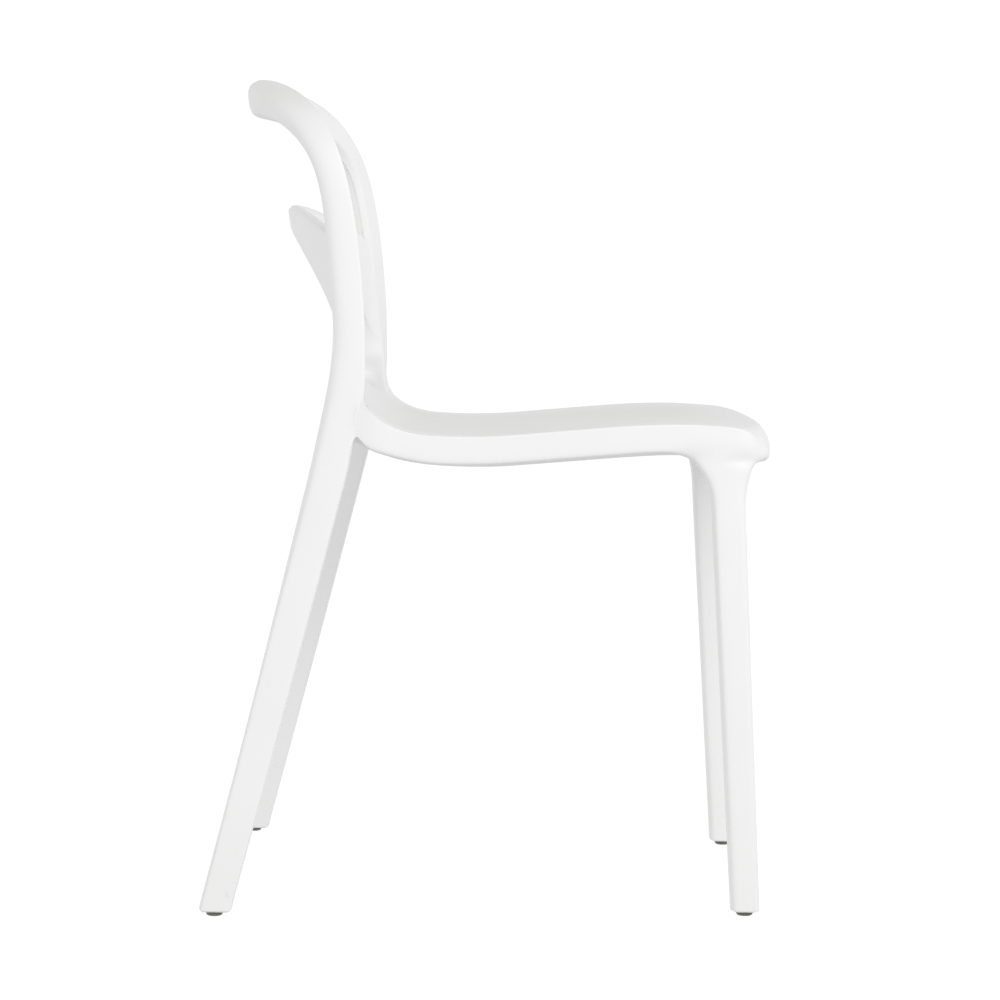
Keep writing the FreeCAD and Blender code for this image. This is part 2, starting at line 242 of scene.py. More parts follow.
class Finish(Nodes):
    """A material of the chair or its stage."""

    def __init__(self, name):
        self.material = bpy.data.materials.new(name)
        super().__init__(self.material)
        self.place = self.node("ShaderNodeTexCoord", output="Object")

    def axis(self, name):
        return self.node("ShaderNodeSeparateXYZ", values={0: self.place}, output=name)

    def stretched(self, x, y, z):
        """The place, with the pattern drawn out along its axes."""
        return self.node("ShaderNodeMapping", values={"Vector": self.place, "Scale": (x, y, z)})

    def noise(self, scale, detail=2.0, roughness=0.5, place=None):
        return self.node("ShaderNodeTexNoise", values={
            "Vector": place or self.place, "Scale": scale, "Detail": detail, "Roughness": roughness},
            output="Fac")

    def blend(self, share, first, second):
        """Mix of two colours."""
        return self.node("ShaderNodeMix", {"data_type": "RGBA"},
                         {0: share, 6: solid(first), 7: solid(second)}, output=2)

    def bump(self, height, strength, distance, normal=None):
        values = {"Height": height, "Strength": strength, "Distance": distance}
        if normal:
            values["Normal"] = normal
        return self.node("ShaderNodeBump", values=values)

    def plastic(self, base, roughness, normal, specular=0.5):
        shader = self.node("ShaderNodeBsdfPrincipled", values={
            "Base Color": base, "Roughness": roughness, "Normal": normal, "Specular IOR Level": specular,
            "IOR": 1.49})
        self.end(shader)
        return self.material


def solid(value):
    """A colour with its alpha, or the link as it is."""
    return value if isinstance(value, Value) else (*value, 1.0)


def moulding_finish(colours):
    """White polypropylene off a fine-grained mould, handled, sat on and a little scuffed."""
    f = Finish("Moulded white plastic")
    height = f.axis("Z")
    side = f.axis("X")
    depth = f.axis("Y")
    cloud = f.noise(7, 3, 0.6)
    grain = f.noise(900, 2, 0.6)
    flow = f.noise(26, 2, 0.5, f.stretched(1, 1, 0.35))
    # hairline scuffs, denser near the feet and on the seat
    hair = f.noise(60, 4, 0.7, f.stretched(6, 0.7, 0.6)).ease(0.62, 0.70)
    low_end = 1 - height.ease(0.01, 0.13)
    on_seat = (height.ease(0.435, 0.447) * (1 - height.ease(0.468, 0.49))
               * (1 - (side * side).ease(0.02, 0.042))
               * (1 - depth.ease(0.07, 0.13)) * depth.ease(-0.255, -0.18))
    on_rail = height.ease(0.745, 0.765)
    worn = (low_end * 0.18 + on_seat * 0.75 + on_rail * 0.4) * (0.55 + cloud * 0.9)
    scuff = hair * (low_end * 0.5 + on_seat * 0.3 + 0.06)
    base = f.blend(cloud.ease(0.3, 0.75), colours.moulding, [c * 0.985 for c in colours.moulding])
    base = f.blend(worn * 0.55, base, colours.moulding_worn)
    base = f.blend(scuff * 0.35, base, colours.scuff)
    rough = (colours.moulding_roughness - 0.04) + cloud * 0.07 + grain * 0.03 + scuff * 0.18 - on_seat * 0.06
    normal = f.bump(grain, 0.22, 0.25 * MM)
    normal = f.bump(flow, 0.30, 0.35 * MM, normal)
    normal = f.bump(scuff, 0.10, 0.1 * MM, normal)
    return f.plastic(base, rough, normal)


def insert_finish(colours):
    """Unfilled moulded nylon, slightly dusty."""
    f = Finish("Insert plastic")
    cloud = f.noise(90, 3, 0.6)
    grain = f.noise(1400, 2, 0.5)
    base = f.blend(cloud.ease(0.35, 0.7), colours.insert, [c * 0.9 for c in colours.insert])
    return f.plastic(base, 0.5 + cloud * 0.12, f.bump(grain, 0.25, 0.15 * MM))


def glide_finish(colours):
    """Grey glide with fine turned rings, rubbed pale where it stands."""
    f = Finish("Glide plastic")
    height = f.axis("Z")
    cloud = f.noise(240, 3, 0.6)
    rings = f.node("ShaderNodeTexWave", {"wave_type": "BANDS", "bands_direction": "Z"},
                   {"Vector": f.place, "Scale": 900.0, "Distortion": 0.6}, output="Fac")
    rubbed = (1 - height.ease(0.0, 0.0016)) * cloud.ease(0.35, 0.6)
    base = f.blend(cloud.ease(0.3, 0.75), colours.glide, [c * 0.8 for c in colours.glide])
    base = f.blend(rubbed, base, colours.glide_worn)
    normal = f.bump(rings, 0.25, 0.08 * MM)
    return f.plastic(base, 0.42 + cloud * 0.16 + rubbed * 0.2, normal)


def floor_finish(stage):
    """Pale floor that runs up into a backdrop of the same tone."""
    f = Finish("Pale floor")
    cloud = f.noise(1.5, 2, 0.5)
    base = f.blend(cloud * 0.5, stage.floor, [c * 0.997 for c in stage.floor])
    paint = f.node("ShaderNodeBsdfDiffuse", values={"Color": base})
    glow = f.node("ShaderNodeEmission", values={"Color": base, "Strength": 1.05})
    f.end(f.node("ShaderNodeMixShader", values={0: 1 - stage.floor_shade, 1: paint, 2: glow}))
    return f.material


# The rear leg and post, seen from the side: height, and how far the front and rear faces lie ahead of
# the rear foot's middle
SIDE_VIEW = ((8, 16, -14), (168, 57.3, 26), (408, 117.6, 82.8), (446, 125.3, 91), (470, 130.1, 96),
             (493, 133.9, 100.5), (516, 135.7, 103.7), (539, 135.7, 105.6), (562, 134.9, 104.8),
             (607, 131.1, 100.6), (649, 125.6, 96.3), (676, 120.1, 92.1), (699, 115.2, 87.1),
             (722, 109.1, 81.1), (745, 101.6, 74.3), (767, 93.1, 66))
# How square the arch's corners are, and how far the post below it runs for a whole share of the arch
ARCH_POWER = 3.1
ARCH_RUN = 0.3


class Line:
    """Middle lines of the back and legs."""

    def __init__(self, s):
        self.s = s
        self.foot_z = HEIGHT - s.rail_height / 2 - s.arch_drop
        self.half = OUTER_X - s.post_width / 2
        steps = 360
        path = [self.arch(math.radians(90) * n / steps) for n in range(steps + 1)]
        run = [0.0]
        for a, b in zip(path, path[1:]):
            run.append(run[-1] + (b - a).length)
        self.turns = [(run[n] / run[-1], math.radians(90) * n / steps) for n in range(steps + 1)]

    def faces(self, z):
        """Front and rear face of the rear member at a height."""
        front = curve_through([(row[0] * MM, row[1] * MM) for row in SIDE_VIEW], z)
        back = curve_through([(row[0] * MM, row[2] * MM) for row in SIDE_VIEW], z)
        return REAR_FOOT.y - front, REAR_FOOT.y - back

    def middle(self, z):
        front, back = self.faces(z)
        return (front + back) / 2

    def bow(self, x):
        return max(0.0, self.half ** 2 - x ** 2) / (2 * self.s.bow_radius)

    def arch(self, turn):
        """The arch's middle line: a wide round-cornered curve from the post to the top rail."""
        x = max(0.0, math.cos(turn)) ** (2 / ARCH_POWER) * self.half
        z = self.foot_z + max(0.0, math.sin(turn)) ** (2 / ARCH_POWER) * self.s.arch_drop
        return Vector((x, self.middle(z) + self.bow(x), z))

    def arch_at(self, share):
        """Place and direction on the arch, by the share of its length."""
        def place(share):
            if share > 1:
                mirrored = place(2 - share)
                return Vector((-mirrored.x, mirrored.y, mirrored.z))
            if share == 1:
                return self.arch(math.radians(90))
            if share <= 0:
                z = self.foot_z + share * ARCH_RUN
                return Vector((self.half, self.middle(z), z))
            n = next(k for k, (run, turn) in enumerate(self.turns) if run >= share)
            (a, low), (b, high) = self.turns[n - 1], self.turns[n]
            return self.arch(mix(low, high, (share - a) / (b - a)))
        step = 0.03
        return place(share), (place(share + step) - place(share - step)).normalized()


def outline(i, j, width, depth, front_radius, inner_radius, back_radius, skew):
    """Place of a section's corner or side point: u outwards and v forwards from its middle.
    i runs from the inner side to the outer one, j from the front to the back."""
    side_radius = (inner_radius, inner_radius, front_radius, front_radius)[i]
    shrink = 1 - math.sqrt(0.5)
    if j == 0:
        u = (-width / 2 + shrink * inner_radius, -width / 2 + 1.3 * inner_radius + 1.5 * MM,
             width / 2 - 1.3 * front_radius - 1.5 * MM, width / 2 - shrink * front_radius)[i]
        v = depth / 2 - (width / 2 - u) * math.tan(skew)
        if i in (0, 3):
            v -= shrink * side_radius
        return u, v
    if j == 3:
        u = (-width / 2 + shrink * back_radius, -width * 0.16, width * 0.16,
             width / 2 - shrink * back_radius)[i]
        v = -depth / 2 + (shrink * back_radius if i in (0, 3) else 0)
        return u, v
    u = -width / 2 if i == 0 else width / 2
    front_v = depth / 2 - (width / 2 - u) * math.tan(skew)
    if j == 1:
        return u, front_v - 1.3 * side_radius - 1.5 * MM
    return u, -depth / 2 + 0.95 * back_radius


# Rings of the rear member above the seat: height, and how far it grows forwards and inwards, in mm
POST_RINGS = ((0.505, 1.0, 0.2), (0.522, 0, 0), (0.548, 0, 0), (0.577, 0, 0), (0.607, 0, 0), (0.634, 0, 0),
              (0.659, 0, 0))
LUMBAR_LOW = 2
LUMBAR_HIGH = 6
ARCH_RINGS = 12
# Lumbar rail: its lower edge's arch, its upper edge's sag at the posts, its
# thickness in the middle and at the foot of its wings, how much of the back's bow it has, and its sections
LUMBAR_HALF = 0.2275
LUMBAR_FOOT_Z = 0.516
LUMBAR_RISE = 0.1235
LUMBAR_TOP_Z = 0.6637
LUMBAR_DROP = 0.0294
LUMBAR_THICKNESS = 0.0165
LUMBAR_WING_THICKNESS = 0.0125
LUMBAR_BOW_SHARE = 0.915
LUMBAR_RINGS = (0.2185, 0.206, 0.189, 0.162, 0.122, 0.064, 0.0)
# Rings below the seat
REAR_LEG_RINGS = (0.428, 0.405, 0.345, 0.26, 0.17, 0.09, 0.035, 0.014)
FRONT_LEG_RINGS = (0.4235, 0.411, 0.393, 0.36, 0.29, 0.21, 0.13, 0.06, 0.025, 0.014)
FOOT_EDGE = 1.2 * MM
SOCKET_DEPTH = 0.010

# Edge roundings of the rear member and the rails
FRONT_EDGE_RADIUS = 2.6 * MM
INNER_RADIUS = 4 * MM
BACK_RADIUS = 12 * MM
RAIL_RADIUS = 9 * MM
ARCH_TILT = math.radians(16)
REAR_LEG_WIDTH = 0.0295
HIP_INWARD = 3 * MM
# Front legs: width, depth at the foot and at the seat, lean, and where and how far they flare into the seat
FRONT_LEG_WIDTH = 0.029
FRONT_LEG_DEPTH = (0.0270, 0.0325)
FRONT_LEG_LEAN = math.radians(3.45)
FLARE_START = 0.385
FLARE_HEIGHT = 0.052
FLARE = 0.036

# The seat's rear rim in section, in mm behind the back edge and above the seat's height
REAR_RIM_TOP = {ROWS - 2: (-18, 9), ROWS - 1: (-8, 19)}
REAR_RIM_WALL = {0: (0, 26), -1: (9, 24), -2: (15, 12), -3: (12, -1)}
REAR_RIM_LOW = {ROWS - 1: (2, -10), ROWS - 2: (-11, -18), ROWS - 3: (-27, -27)}
# The panel's columns, from the middle outwards, and the heights of the front legs' tops by row
PANEL_COLUMNS = (0, 0.052, 0.102, 0.147)
FRONT_LEG_TOP_Z = (0.4285, 0.429, 0.4295, 0.4315)
# How far points beside the rounded front corners draw inwards and back, in mm
CORNER_INWARD = {(0, COLS - RIM): 8, (1, COLS - RIM): 5, (1, COLS - 2): 10, (1, COLS - 1): 10.3}
CORNER_REARWARD = {COLS - 2: 3, COLS - 1: 5.5}
# Rows where the rim's side runs out to the post: share of the way out, then depth and height of its lower and
# upper edge
SWEEP = {ROWS - RIM - 3: (0.0, (0.062, 0.4240), (0.062, 0.4510)),
         ROWS - RIM - 2: (0.06, (0.0985, 0.4312), (0.092, 0.4572)),
         ROWS - RIM - 1: (0.42, (0.118, 0.4392), (0.1105, 0.4685))}
# The seat's top at its sides: share of the way back, and height in mm
SEAT_PROFILE = ((0, -16), (0.025, -6), (0.06, -3.3), (0.12, -1.3), (0.2, -0.5), (0.31, -2.1), (0.48, -8),
                (0.65, -13.8), (0.76, -14.5), (0.85, -11), (0.907, -4), (0.94, 5), (0.965, 16), (1, 30))
# Heights of the junction of seat and post: its front edge from the inner side out, and its inner side
JUNCTION_TOP_FRONT = (0.4785, 0.4805, 0.483, 0.487)
JUNCTION_TOP_INNER = (0.480, 0.482, 0.487, 0.492)
JUNCTION_LOW_FRONT = (0.442, 0.4445, 0.4505, 0.4565)
JUNCTION_LOW_INNER = (0.4415, 0.447, 0.4545, 0.459)

# Leg inserts and glides
PLUG_GAP = 0.2 * MM
PLUG_INSET = 0.6 * MM
GLIDE_STEM = 3.4 * MM
# Share of the glide's radius, and height in mm: worn foot, turned rings, flange and neck
GLIDE_PROFILE = ((0, 0), (0.5, 0), (0.74, 0.12), (0.86, 0.5), (0.94, 1.1), (1, 1.9), (1, 2.5), (0.965, 2.65),
                 (0.965, 3.0), (1, 3.15), (1, 4.3), (0.955, 4.45), (0.955, 4.8), (0.985, 4.95), (0.985, 5.6),
                 (0.9, 6.0), (0.6, 6.2), (0.5, 7.0))


class Moulding:
    """Where each point of the moulding's cage goes. A point is named by its column, row and layer."""

    def __init__(self, s):
        self.s = s
        self.line = Line(s)
        self.back_middle = 0.1465
        self.back_side = 0.1365

    # --- rear legs, posts and top rail
    def member(self, z, i, j, forward=0.0, inward=0.0, wall=0.0):
        s = self.s
        above = smooth(0.43, 0.52, z)
        inner_x = mix(OUTER_X - REAR_LEG_WIDTH, OUTER_X - s.post_width, above)
        inner_x -= HIP_INWARD * smooth(0.33, 0.43, z) * (1 - above)
        width = OUTER_X - inner_x
        front, rear = self.line.faces(z)
        depth = rear - front
        skew = s.post_skew * smooth(0.46, 0.60, z)
        back = mix(6.5 * MM, BACK_RADIUS, smooth(0.2, 0.5, z))
        u, v = outline(i, j, width - 2 * wall, depth - 2 * wall, FRONT_EDGE_RADIUS, INNER_RADIUS,
                       back - wall, skew)
        x = (OUTER_X + inner_x) / 2 + u
        y = (front + rear) / 2 - v
        if j == 0:
            y -= forward
        if i == 0:
            x -= inward
        return Vector((x, y, z))

    def arch(self, share, i, j):
        """share runs from 0 at the post to 1 at the middle of the top rail."""
        s = self.s
        centre, along = self.line.arch_at(share)
        tilt = mix(ARCH_TILT, s.rail_tilt, smooth(0, 0.8, share))
        front = Vector((0, -math.cos(tilt), math.sin(tilt)))
        front = (front - along * front.dot(along)).normalized()
        across = along.cross(front)
        near = min(1.0, centre.x / self.line.half)
        top = 1 - near ** 1.6
        face, rear = self.line.faces(self.line.foot_z)
        width = mix(s.post_width, s.rail_height, top)
        depth = mix((rear - face) * math.cos(tilt), s.rail_depth, smooth(0, 0.75, share))
        skew = s.post_skew * (1 - smooth(0, 0.6, share))
        round_front = mix(FRONT_EDGE_RADIUS, RAIL_RADIUS, smooth(0.25, 0.8, share))
        round_inner = mix(INNER_RADIUS, RAIL_RADIUS, share)
        u, v = outline(i, j, width, depth, round_front, round_inner, BACK_RADIUS, skew)
        place = centre + across * u + front * v
        if share == 1:
            place.x = 0
        return place

    # --- lumbar rail
    def lumbar(self, ring, j, level):
        x = LUMBAR_RINGS[ring]
        side = min(1.0, x / LUMBAR_HALF)
        low_z = LUMBAR_FOOT_Z + LUMBAR_RISE * (1 - side ** 2) ** 0.61
        high_z = LUMBAR_TOP_Z - LUMBAR_DROP * (x / LUMBAR_RINGS[0]) ** 2.57
        share = (0, 0.2, 0.5, 0.8, 1)[level]
        height = high_z - low_z
        thick = mix(LUMBAR_THICKNESS, LUMBAR_WING_THICKNESS, smooth(0.1, 0.22, x) * (1 - share))
        z = mix(low_z, high_z, share)
        half = thick / 2
        edge = min(height, thick) * 0.5
        depth = (half, half * 0.36, -half * 0.36, -half)[j]
        if level in (0, 4):
            if j in (0, 3):
                depth *= 0.72
                z += edge * 0.28 * (1 if level == 0 else -1)
        y = self.line.middle(z) + LUMBAR_BOW_SHARE * self.line.bow(x) - depth
        y -= 1 * MM * smooth(0.14, 0.215, x) * (1 - share)
        return Vector((x, y, z))

    # --- seat
    def front_y(self, x):
        """The seat's front edge, seen from above."""
        return NOSE_Y + self.s.front_bow * min(1.0, abs(x) / SEAT_EDGE_X) ** 2

    def back_y(self, x):
        return mix(self.back_middle, self.back_side, min(1.0, abs(x) / SEAT_EDGE_X) ** 2)

    def seat_y(self, row, x):
        """Row's place in depth, on the top of the seat."""
        side = min(1.0, abs(x) / SEAT_EDGE_X)
        middle_rows = (0.009, 0.014, 0.024, 0.036)
        side_rows = (0.009, 0.0145, 0.033, 0.064)
        blend = smooth(0.55, 1.0, side)
        if row <= RIM:
            return self.front_y(x) + mix(middle_rows[row], side_rows[row], blend)
        first = self.front_y(x) + mix(middle_rows[RIM], side_rows[RIM], blend)
        last = self.back_y(x) - mix(31, 21, blend) * MM
        steps = (0, 0.09, 0.19, 0.30, 0.42, 0.54, 0.66, 0.77, 0.865, 0.94, 1)
        return mix(first, last, steps[min(row, ROWS - RIM) - RIM])

    def seat_z(self, x, y):
        """Height of the seat's top."""
        s = self.s
        side = min(1.0, abs(x) / SEAT_EDGE_X)
        front = self.front_y(x)
        share = (y - front) / (self.back_side + 10 * MM * (1 - side ** 2) - front)
        dish = s.seat_dish * (1 - side ** 2) * math.sin(math.pi * min(1, max(0, share)) ** 0.8) ** 0.8
        return s.seat_height + curve_through(SEAT_PROFILE, share) * MM - dish

    def seat_x(self, col, row, layer):
        s = self.s
        inner = SEAT_EDGE_X - s.beam_width
        top = (*PANEL_COLUMNS, inner, SEAT_EDGE_X - 15 * MM, SEAT_EDGE_X - 4.2 * MM, SEAT_EDGE_X)[col]
        if layer == -LAYERS:
            return (*PANEL_COLUMNS, inner, SEAT_EDGE_X - 21 * MM, SEAT_EDGE_X - 8 * MM,
                    SEAT_EDGE_X - 1.3 * MM)[col]
        if col == COLS and layer == 0:
            return top - 0.4 * MM
        return top

    def rear_rim(self, x, place):
        behind, above = place
        return Vector((x, self.back_y(x) + behind * MM, self.s.seat_height + above * MM))

    def corner(self, col, row, layer):
        """The seat's front corner: the edge runs round it, as its section turns from nose to side."""
        s = self.s
        step = (col - COLS + 2) if row == 0 else 2 + row
        turn = math.radians(max(0.0, step * 22.5))
        radius = s.corner_radius
        edge_x = SEAT_EDGE_X - radius + radius * math.sin(turn)
        edge_y = self.front_y(SEAT_EDGE_X) + radius - radius * math.cos(turn)
        if step == 0:
            edge_y = self.front_y(edge_x)
        out = Vector((math.sin(turn), -math.cos(turn), 0))
        share = smooth(0, 4, step)
        section = self.nose_section(layer)
        side_top = self.seat_z(edge_x, edge_y + 2 * MM) - 0.8 * MM
        side_section = ((0.4, side_top), (0, side_top - 4.4 * MM), (0, side_top - s.beam_height + 9 * MM),
                        (1.3, side_top - s.beam_height + 2.2 * MM))[-layer]
        inset = mix(section[0], side_section[0] * MM, share)
        z = mix(section[1], side_section[1], share)
        return Vector((edge_x, edge_y, 0)) - out * inset + Vector((0, 0, z))

    def nose_section(self, layer):
        """How far the nose's section lies behind the front edge, and its height."""
        inset, height = ((6.5, -12), (0.9, -22.5), (0.3, -31), (4.5, -38))[-layer]
        return inset * MM, self.s.seat_height + height * MM

    def seat(self, col, row, layer):
        s = self.s
        x = self.seat_x(col, row, layer)
        if layer > -LAYERS:
            if (row == 0 and col >= COLS - 2) or (col == COLS and row <= 1):
                return self.corner(col, row, layer)
        # columns draw in towards the rounded corners
        if row <= 1 and COLS - RIM - 1 < col < COLS:
            x -= CORNER_INWARD.get((row, col), 0) * MM
        y = self.seat_y(row, x)
        if row == 1:
            y += CORNER_REARWARD.get(col, 0) * MM
        sweep = SWEEP.get(row) if col >= COLS - RIM else None
        if sweep:
            outward, (low_y, low_z), (top_y, top_z) = sweep
            y = top_y
        if row == ROWS:
            return self.rear_rim(x, REAR_RIM_WALL[layer])
        if layer == 0 and row in REAR_RIM_TOP:
            return self.rear_rim(x, REAR_RIM_TOP[row])
        if layer == -LAYERS and row in REAR_RIM_LOW:
            return self.rear_rim(x, REAR_RIM_LOW[row])
        if row == 0:
            inset, z = self.nose_section(layer)
            return Vector((x, self.front_y(x) + inset, z))
        top = self.seat_z(x, y)
        slope = (self.seat_z(x, y + MM) - self.seat_z(x, y - MM)) / (2 * MM)
        slope = max(-0.5, min(1.2, slope))
        down = Vector((0, slope, -1)).normalized()
        drop = {0: 0, -1: 4.6 * MM, -2: s.beam_height - 8.5 * MM, -3: s.beam_height}[layer]
        place = Vector((x, y, top)) + down * drop
        if col == COLS:
            place.z += {0: -0.4, -1: 0, -2: 0, -3: 1.3}[layer] * MM
        if sweep:
            place.x += (OUTER_X - SEAT_EDGE_X) * outward
            share = (0, 0.17, 0.68, 1)[-layer]
            edge = {0: -0.4, -3: 1.3}.get(layer, 0) * MM if col == COLS else 0
            place.y, place.z = mix(top_y, low_y, share), mix(top_z, low_z, share) + edge
        elif row <= RIM and layer == -LAYERS:
            place.z = s.seat_height - (38.6, 38.4, 37.4)[row - 1] * MM
        return place

    def underside(self, col, row):
        """The panel's lower face, inside the rim."""
        s = self.s
        col_place = min(col, PANEL_COLS)
        x = self.seat_x(col_place, row, 0)
        if col == PANEL_COLS:
            x -= 1.5 * MM
        y = self.seat_y(row, x)
        if row == RIM:
            y += 1.5 * MM
        if row == ROWS - RIM:
            y -= 1.5 * MM
        return Vector((x, y, self.seat_z(x, y) - s.panel_thickness))

    # --- front legs
    def front_leg(self, z, i, j, wall=0.0):
        s = self.s
        share = (z - FOOT_Z) / (s.seat_height - FOOT_Z)
        outer = mix(FRONT_FOOT.x + FRONT_LEG_WIDTH / 2, SEAT_EDGE_X - 1.6 * MM, share)
        width = FRONT_LEG_WIDTH
        depth = mix(*FRONT_LEG_DEPTH, share)
        rise = max(0.0, (z - FLARE_START) / FLARE_HEIGHT)
        flare = FLARE * (1 - math.sqrt(max(0.0, 1 - rise ** 2.4)))
        corner = mix(5.5 * MM, 11 * MM, smooth(0.36, 0.43, z))
        u, v = outline(i, j, width - 2 * wall, depth - 2 * wall, corner, 6 * MM, 8 * MM - wall, 0)
        x = outer - width / 2 + u
        y = FRONT_FOOT.y - 0.2 * MM + math.tan(FRONT_LEG_LEAN) * (z - FOOT_Z) - v
        y += (-12.5 * MM * rise ** 1.7, 0, flare * 0.45, flare)[j]
        if i == 0:
            x -= flare * 0.6
        return Vector((x, y, z))

    def socket(self, foot, i, j, wall, z):
        """A point of a leg's hollow end."""
        if i in (1, 2) and j in (1, 2):
            left, right = foot(z, 0, 1, wall=wall), foot(z, 3, 1, wall=wall)
            front, rear = foot(z, i, 0, wall=wall), foot(z, i, 3, wall=wall)
            return Vector((mix(left.x, right.x, i / 3), mix(front.y, rear.y, j / 3), z))
        return foot(z, i, j, wall=wall)

    def junction(self, i, j, layer):
        """Where the seat's rim, the post and the rear leg meet."""
        if layer == 0:
            z = JUNCTION_TOP_FRONT[i] if j == 0 else mix(JUNCTION_TOP_INNER[j], 0.492, i / RIM)
            return self.member(z, i, j, 3.2 * MM if i < RIM else 2.6 * MM, 0.5 * MM)
        if layer == -LAYERS:
            z = JUNCTION_LOW_FRONT[i] if j == 0 else mix(JUNCTION_LOW_INNER[j], 0.4515, i / RIM)
            return self.member(z, i, j, 1.0 * MM if i < RIM else 0, 1 * MM)
        z = {-1: 0.4775, -2: 0.4625}[layer] + 3 * MM * (RIM - i) / RIM
        return self.member(z, i, j)

    def place(self, col, row, layer):
        i = col - (COLS - RIM)
        j = row - (ROWS - RIM)
        if layer > 0 and i < 0:
            return self.lumbar(-i - 1, j, round(layer) - LUMBAR_LOW)
        if layer > len(POST_RINGS):
            return self.arch((layer - len(POST_RINGS)) / ARCH_RINGS, i, j)
        if layer > 0:
            z, forward, inward = POST_RINGS[round(layer) - 1]
            return self.member(z, i, j, forward * MM, inward * MM)
        if layer < -LAYERS:
            rings, foot = REAR_LEG_RINGS, self.member
            if j < 0:
                rings, foot, j = FRONT_LEG_RINGS, self.front_leg, row
            index = math.floor(-layer - LAYERS - 1 + 1e-6)
            if index < len(rings):
                return foot(rings[index], i, j)
            extra = round((-layer - LAYERS - 1 - len(rings)) * 10)
            wall, z = ((0, FOOT_Z + FOOT_EDGE), (FOOT_EDGE, FOOT_Z), (self.s.leg_wall, FOOT_Z),
                       (self.s.leg_wall, FOOT_Z + SOCKET_DEPTH))[extra]
            return self.socket(foot, i, j, wall, z)
        if layer == -1.5:
            return self.underside(col, row)
        if i >= 0 and j >= 0:
            return self.junction(i, j, layer)
        if layer == -LAYERS and i >= 0 and row <= RIM:
            point = self.front_leg(FRONT_LEG_TOP_Z[row], i, row)
            if row == 0:
                point.y = NOSE_Y + (21.5, 21.5, 22.5, 26.5)[i] * MM
                point.x -= (0, 0, 1, 3)[i] * MM
            if i == RIM:
                point.z += 2 * MM
            return point
        return self.seat(col, row, layer)


def extrude_faces(bm, faces, shift):
    """Moves the faces one step over the lattice, and gives the moved faces."""
    made = bmesh.ops.extrude_face_region(bm, geom=faces)["geom"]
    verts = [g for g in made if isinstance(g, bmesh.types.BMVert)]
    bmesh.ops.translate(bm, vec=shift, verts=verts)
    bmesh.ops.delete(bm, geom=[f for f in faces if f.is_valid], context="FACES")
    return [g for g in made if isinstance(g, bmesh.types.BMFace)]


def faces_where(bm, test):
    return [f for f in bm.faces if test(f.calc_center_median())]


def moulding_cage(bm, s):
    """Half of the moulding as a cage of quads: a lattice, grown by extrusion, then put in its place."""
    bmesh.ops.create_grid(bm, x_segments=COLS, y_segments=ROWS, size=0.5)
    bmesh.ops.translate(bm, vec=(0.5, 0.5, 0), verts=bm.verts)
    bmesh.ops.scale(bm, vec=(COLS, ROWS, 1), verts=bm.verts)
    top = list(bm.faces)
    bottom = bmesh.ops.duplicate(bm, geom=list(bm.verts) + list(bm.edges) + list(bm.faces))["geom"]
    lower = [g for g in bottom if isinstance(g, bmesh.types.BMFace)]
    bmesh.ops.reverse_faces(bm, faces=lower)
    ring = list({e for f in top for e in f.edges if e.is_boundary})
    for _ in range(LAYERS):
        made = bmesh.ops.extrude_edge_only(bm, edges=ring)["geom"]
        verts = [g for g in made if isinstance(g, bmesh.types.BMVert)]
        bmesh.ops.translate(bm, vec=(0, 0, -1), verts=verts)
        ring = [g for g in made if isinstance(g, bmesh.types.BMEdge)]
        ring = [e for e in ring if all(v in verts for v in e.verts)]
    low_verts = list({v for f in lower for v in f.verts})
    bmesh.ops.translate(bm, vec=(0, 0, -LAYERS), verts=low_verts)
    bmesh.ops.remove_doubles(bm, verts=list(bm.verts), dist=0.01)

    # the panel is thin inside the rim
    inside = faces_where(bm, lambda c: c.z < -LAYERS + 0.1 and c.x < PANEL_COLS and RIM < c.y < ROWS - RIM)
    extrude_faces(bm, inside, (0, 0, LAYERS - 1.5))

    # post, arch and top rail
    block = faces_where(bm, lambda c: c.z > -0.1 and c.x > COLS - RIM and c.y > ROWS - RIM)
    for _ in range(len(POST_RINGS) + ARCH_RINGS):
        block = extrude_faces(bm, block, (0, 0, 1))

    # lumbar rail
    side = faces_where(bm, lambda c: abs(c.x - (COLS - RIM)) < 0.1 and LUMBAR_LOW < c.z < LUMBAR_HIGH)
    for _ in LUMBAR_RINGS:
        side = extrude_faces(bm, side, (-1, 0, 0))
    bmesh.ops.delete(bm, geom=side, context="FACES")
    bmesh.ops.delete(bm, geom=block, context="FACES")

    # legs, each with a socket in its end
    for low_row, high_row, rings in ((ROWS - RIM, ROWS, REAR_LEG_RINGS), (0, RIM, FRONT_LEG_RINGS)):
        block = faces_where(
            bm, lambda c: abs(c.z + LAYERS) < 0.1 and c.x > COLS - RIM and low_row < c.y < high_row)
        for _ in range(len(rings) + 1):
            block = extrude_faces(bm, block, (0, 0, -1))
        for _ in range(3):
            block = extrude_faces(bm, block, (0, 0, -0.1))

    cut = [f for f in bm.faces if all(abs(v.co.x) < 0.01 for v in f.verts) and f.calc_center_median().z < 0.1]
    bmesh.ops.delete(bm, geom=cut, context="FACES")
    moulding = Moulding(s)
    for v in bm.verts:
        col, row, layer = (round(n, 1) for n in v.co)
        v.co = moulding.place(round(col), round(row), layer if layer % 1 else round(layer))


def settle(bm, rounds, ease=0.9):
    """Moves the cage so that its smoothed surface passes through the places that were given. Points where
    members join are left, so the joins stay softly rounded."""
    goal = {v: v.co.copy() for v in bm.verts if len(v.link_edges) <= 4}
    for _ in range(rounds):
        moves = []
        for v in goal:
            n = len(v.link_edges)
            near = Vector()
            for e in v.link_edges:
                near += e.other_vert(v).co
            far = Vector()
            for loop in v.link_loops:
                far += loop.link_loop_next.link_loop_next.vert.co
            limit = (v.co * n * n + near * 4 + far) / (n * (n + 5))
            moves.append((v, (goal[v] - limit) * ease))
        for v, move in moves:
            v.co += move


